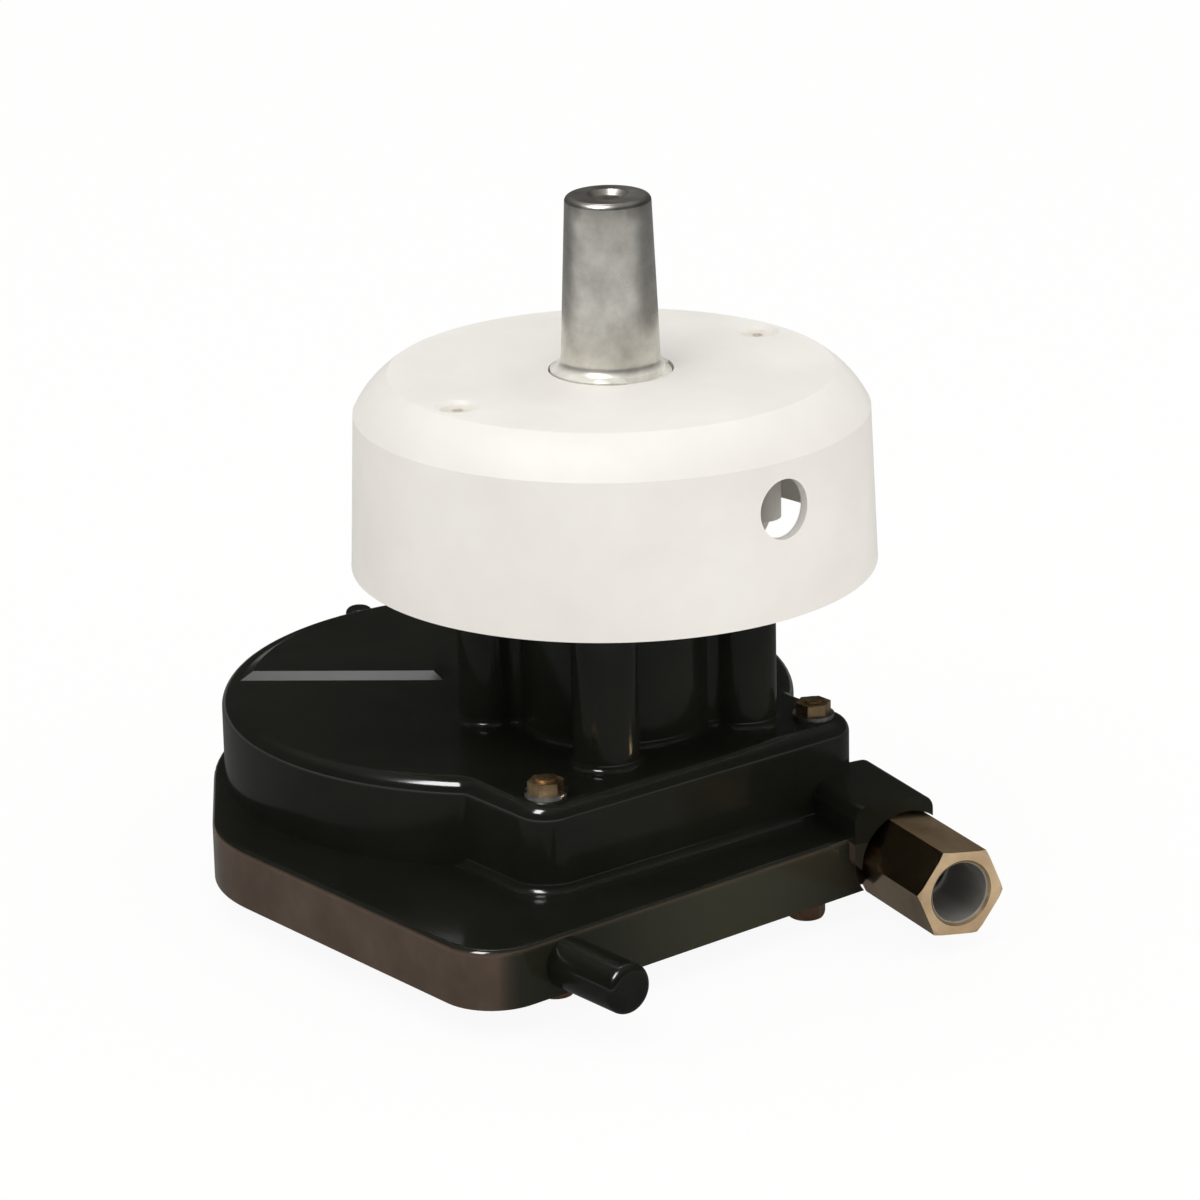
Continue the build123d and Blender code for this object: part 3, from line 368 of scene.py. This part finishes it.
# Plastics and rubber: mottled very little, matt to satin
softLooks = {
    # soft PVC cap over the outlet tube, dipped, so smooth and rounded
    "dippedPvc": {"low": "#10110D", "high": "#171812", "cloudMm": 12,
                  "roughness": (0.14, 0.22), "grainMm": 2.5, "depthMm": 0.03, "ior": 1.5},
    # heads of the bezel's screws, coated in the bezel's colour and a little rubbed
    "coatedHead": {"low": "#D6CFC3", "high": "#E1DCD2", "cloudMm": 3,
                   "roughness": (0.4, 0.5), "grainMm": 0.8, "depthMm": 0.02, "ior": 1.5},
    # nitrile rubber of the shaft seal and the fibre gasket
    "nitrileRubber": {"low": "#141414", "high": "#212120", "cloudMm": 6,
                      "roughness": (0.6, 0.75), "grainMm": 0.5, "depthMm": 0.03, "ior": 1.52},
    # natural acetal of the guide and the drum's washers, milky and slippery
    "naturalAcetal": {"low": "#CFCBC2", "high": "#E2DFD7", "cloudMm": 15,
                      "roughness": (0.35, 0.45), "grainMm": 0.8, "depthMm": 0.02,
                      "ior": 1.48},
}
softGrainStrength = 0.3


def mouldedPlastic(name):
    look = softLooks[name]
    material, tree, shader, place = newSurface(name, {"IOR": look["ior"]})
    color = cloudyColor(tree, place, look["low"], look["high"], look["cloudMm"])
    rough = cloudyRoughness(tree, place, *look["roughness"], look["cloudMm"])
    bump = grainBump(tree, place, look["grainMm"], look["depthMm"], softGrainStrength)
    dressSurface(tree, shader, color, rough, bump)
    return material


# The housing's enamel carries the painted sheen on its flange walls, the pressed base cover's
# not
finishes = {"mouldedAbs": mouldedAbs(), "turnedSteel": turnedSteel(),
            "blackEnamel": blackEnamel("blackEnamel", paintedSheenSides=True),
            "blackPaintedSheet": blackEnamel("blackPaintedSheet", paintedSheenSides=False)}
for finishName in metalLooks:
    finishes[finishName] = platedMetal(finishName)
for finishName in softLooks:
    finishes[finishName] = mouldedPlastic(finishName)

nodeFinish = {
    "bezel": "mouldedAbs", "bezel_screws": "coatedHead", "input_shaft": "turnedSteel",
    "wheel_key": "gearSteel", "housing": "blackEnamel", "upper_bushing": "sinteredBronze",
    "lower_bushing": "sinteredBronze", "shaft_seal": "nitrileRubber",
    "thrust_washer": "sinteredBronze", "shaft_circlip": "bluedSpringSteel",
    "pinion": "gearSteel", "pinion_key": "gearSteel", "pinion_circlip": "bluedSpringSteel",
    "cable_drum": "castAluminium", "drum_post": "gearSteel", "drum_bushing": "sinteredBronze",
    "drum_top_washer": "naturalAcetal", "drum_bottom_washer": "naturalAcetal",
    "drum_circlip": "bluedSpringSteel", "through_bolts": "yellowZinc",
    "bolt_washers": "clearZinc", "bolt_nuts": "yellowZinc",
    "base_cover": "blackPaintedSheet", "gasket": "nitrileRubber", "base_screws": "brownZinc",
    "inlet_nut": "nickelledBrass", "inlet_nipple": "gearSteel", "outlet_tube": "stainlessSteel",
    "outlet_cap": "dippedPvc", "cable_guide": "naturalAcetal",
}
for nodeName, finishName in nodeFinish.items():
    mesh = nodes[nodeName].data
    evenSeams(mesh, isRound=nodeName != "housing")
    mesh.materials.clear()
    mesh.materials.append(finishes[finishName])
print("rotary helm:", len(finishes), "materials on", len(nodeFinish), "nodes")

# Camera: the photograph's angle, from the rims of the bezel and the flange's edges
view = {"azimuth": 39.71, "elevation": 18.2, "rollLeft": 1.12, "distance": 1.3,
        "focalPixels": 5103, "framePixels": 1200, "axisPixel": (614.65, 556.56),
        "sensorMm": 36, "reachM": 50}
azimuth, elevation = math.radians(view["azimuth"]), math.radians(view["elevation"])
toCamera = Vector((math.cos(elevation) * math.cos(azimuth),
                   -math.cos(elevation) * math.sin(azimuth), math.sin(elevation)))
right = (-toCamera).cross(Vector((0, 0, 1))).normalized()
up = right.cross(-toCamera)
roll = math.radians(view["rollLeft"])
cameraRight = right * math.cos(roll) - up * math.sin(roll)
cameraUp = up * math.cos(roll) + right * math.sin(roll)
cameraData = bpy.data.cameras.new("photoCamera")
cameraData.sensor_width = view["sensorMm"]
cameraData.lens = view["sensorMm"] * view["focalPixels"] / view["framePixels"]
cameraData.shift_x = 0.5 - view["axisPixel"][0] / view["framePixels"]
cameraData.shift_y = view["axisPixel"][1] / view["framePixels"] - 0.5
cameraData.clip_end = view["reachM"]
camera = bpy.data.objects.new("photoCamera", cameraData)
camera.matrix_world = Matrix.Translation(toCamera * view["distance"]) @ Matrix(
    (cameraRight, cameraUp, toCamera)).transposed().to_4x4()
bpy.context.scene.collection.objects.link(camera)
bpy.context.scene.camera = camera

# Floor: to the camera mostly white, with a faint shadow, and matt to all other light.
# Mirrored, it is dim near the object and bright in a ring farther out, on one side.
floorLook = {"heightM": -0.0893, "halfM": 3.0, "color": "#E4E2DE", "whiteShare": 0.93,
             "mirroredDim": 0.12, "mirroredBright": 0.95, "ringFromM": (0.25, 0.45),
             "ringToM": (0.8, 1.2), "ringAzimuth": -52, "ringAheadM": (-0.25, 0.4),
             "ringBehind": 0.25}
# World: pale behind the object, dimmer on the camera's side, a little brighter overhead.
# Mirrored, it is dark low down and lighter overhead, as in a room with a lit ceiling.
skyLook = {"color": "#FFFFFF", "farLevel": 1.12, "nearLevel": 0.82, "nearSpan": (-0.2, 0.5),
           "overheadFromSine": 0.3, "overheadGain": 1.2, "mirroredLow": 0.022,
           "mirroredHigh": 0.16, "mirroredSine": (0.5, 0.85)}


# Two switches: for rays the camera sees directly or through glass, and for mirrored rays
def raySorts(tree):
    path = addNode(tree, "ShaderNodeLightPath")
    seen = addNode(tree, "ShaderNodeMath", {"operation": "MAXIMUM"},
                   {0: path.outputs["Is Camera Ray"], 1: path.outputs["Is Transmission Ray"]})
    return seen.outputs[0], path.outputs["Is Glossy Ray"]


# The brightness of the mirrored floor, by the place on it
def mirroredFloor(tree, look):
    spot = addNode(tree, "ShaderNodeTexCoord").outputs["Object"]
    reach = addNode(tree, "ShaderNodeVectorMath", {"operation": "LENGTH"}, {0: spot})
    outer = addNode(tree, "ShaderNodeMapRange", {"interpolation_type": "SMOOTHSTEP"},
                    {"Value": reach.outputs["Value"], "From Min": look["ringToM"][0],
                     "From Max": look["ringToM"][1], "To Min": look["mirroredBright"],
                     "To Max": look["mirroredDim"]})
    ringAngle = math.radians(look["ringAzimuth"])
    ahead = addNode(tree, "ShaderNodeVectorMath", {"operation": "DOT_PRODUCT"},
                    {0: spot, 1: (math.cos(ringAngle), math.sin(ringAngle), 0)})
    inFront = addNode(tree, "ShaderNodeMapRange", {"interpolation_type": "SMOOTHSTEP"},
                      {"Value": ahead.outputs["Value"], "From Min": look["ringAheadM"][0],
                       "From Max": look["ringAheadM"][1], "To Min": look["ringBehind"],
                       "To Max": 1.0})
    ring = addNode(tree, "ShaderNodeMath", {"operation": "MULTIPLY"},
                   {0: outer.outputs[0], 1: inFront.outputs[0]})
    farther = addNode(tree, "ShaderNodeMapRange", {"interpolation_type": "SMOOTHSTEP"},
                      {"Value": reach.outputs["Value"], "From Min": look["ringFromM"][0],
                       "From Max": look["ringFromM"][1]})
    return addNode(tree, "ShaderNodeMix", None,
                   {0: farther.outputs[0], 2: look["mirroredDim"],
                    3: ring.outputs[0]}).outputs[0]


half, floorZ = floorLook["halfM"], floorLook["heightM"]
floorMesh = bpy.data.meshes.new("studioFloor")
floorMesh.from_pydata([(-half, -half, floorZ), (half, -half, floorZ), (half, half, floorZ),
                       (-half, half, floorZ)], [], [(0, 1, 2, 3)])
floor = bpy.data.objects.new("studioFloor", floorMesh)
bpy.context.scene.collection.objects.link(floor)
floorMaterial = bpy.data.materials.new("paleFloor")
floorMaterial.use_nodes = True
tree = floorMaterial.node_tree
tree.nodes.clear()
seen, glossy = raySorts(tree)
seenWhite = addNode(tree, "ShaderNodeMath", {"operation": "MULTIPLY"},
                    {0: seen, 1: floorLook["whiteShare"]})
whiteShare = addNode(tree, "ShaderNodeMix", None, {0: glossy, 2: seenWhite.outputs[0], 3: 1.0})
glow = addNode(tree, "ShaderNodeMix", None,
               {0: glossy, 2: 1.0, 3: mirroredFloor(tree, floorLook)})
matt = addNode(tree, "ShaderNodeBsdfDiffuse", None, {"Color": linearColor(floorLook["color"])})
white = addNode(tree, "ShaderNodeEmission", None,
                {"Color": (1, 1, 1, 1), "Strength": glow.outputs[0]})
mixed = addNode(tree, "ShaderNodeMixShader", None,
                {0: whiteShare.outputs[0], 1: matt.outputs[0], 2: white.outputs[0]})
addNode(tree, "ShaderNodeOutputMaterial", None, {0: mixed.outputs[0]})
floorMesh.materials.append(floorMaterial)

world = bpy.data.worlds.new("studioWorld")
bpy.context.scene.world = world
world.use_nodes = True
tree = world.node_tree
tree.nodes.clear()
direction = addNode(tree, "ShaderNodeTexCoord").outputs["Generated"]
towards = addNode(tree, "ShaderNodeVectorMath", {"operation": "DOT_PRODUCT"},
                  {0: direction, 1: (toCamera.x, toCamera.y, 0)})
sideLevel = addNode(tree, "ShaderNodeMapRange", {"interpolation_type": "SMOOTHSTEP"},
                    {"Value": towards.outputs["Value"], "From Min": skyLook["nearSpan"][0],
                     "From Max": skyLook["nearSpan"][1], "To Min": skyLook["farLevel"],
                     "To Max": skyLook["nearLevel"]})
sineUp = addNode(tree, "ShaderNodeSeparateXYZ", None, {0: direction}).outputs[2]
overhead = addNode(tree, "ShaderNodeMapRange", None,
                   {"Value": sineUp, "From Min": skyLook["overheadFromSine"],
                    "To Min": 1.0, "To Max": skyLook["overheadGain"]})
mattLevel = addNode(tree, "ShaderNodeMath", {"operation": "MULTIPLY"},
                    {0: sideLevel.outputs[0], 1: overhead.outputs[0]})
ceiling = addNode(tree, "ShaderNodeMapRange", {"interpolation_type": "SMOOTHSTEP"},
                  {"Value": sineUp, "From Min": skyLook["mirroredSine"][0],
                   "From Max": skyLook["mirroredSine"][1], "To Min": skyLook["mirroredLow"],
                   "To Max": skyLook["mirroredHigh"]})
seen, glossy = raySorts(tree)
lightLevel = addNode(tree, "ShaderNodeMix", None,
                     {0: glossy, 2: mattLevel.outputs[0], 3: ceiling.outputs[0]})
strength = addNode(tree, "ShaderNodeMix", None, {0: seen, 2: lightLevel.outputs[0], 3: 1.0})
sky = addNode(tree, "ShaderNodeBackground", None,
              {"Color": linearColor(skyLook["color"]), "Strength": strength.outputs[0]})
addNode(tree, "ShaderNodeOutputWorld", None, {0: sky.outputs[0]})

# Lamps: places in metres, sizes in metres, and watts. windowSoftBox lights everything;
# windowGlint and rampCard only show in what mirrors them; frontSoftBox isn't mirrored.
lampTarget = Vector((-0.03, 0, -0.02))
lamps = {
    "windowSoftBox": {"at": (0.22, -0.9, 1.3), "size": (0.7, 0.75), "watts": 4,
                      "rays": "both"},
    "windowGlint": {"at": (0.22, -0.88, 1.28), "size": (0.5, 0.75), "watts": 22,
                    "rays": "glossy"},
    "frontSoftBox": {"at": (1.3, 0.2, 0.5), "size": (0.9, 0.9), "watts": 3,
                     "rays": "diffuse"},
    "rampCard": {"at": (-0.48, 0.2, 1.5), "size": (0.35, 0.35), "watts": 1.2,
                 "rays": "glossy"},
}
for lampName, lamp in lamps.items():
    lampData = bpy.data.lights.new(lampName, "AREA")
    lampData.shape = "RECTANGLE"
    lampData.size, lampData.size_y = lamp["size"]
    lampData.energy = lamp["watts"]
    lampObject = bpy.data.objects.new(lampName, lampData)
    lampObject.location = lamp["at"]
    lampObject.visible_diffuse = lamp["rays"] != "glossy"
    lampObject.visible_glossy = lamp["rays"] != "diffuse"
    aim = lampTarget - Vector(lamp["at"])
    lampObject.rotation_euler = aim.to_track_quat("-Z", "Y").to_euler()
    bpy.context.scene.collection.objects.link(lampObject)
bpy.context.scene.view_settings.view_transform = "Standard"
print("rotary helm: floor, camera and lamps ready")
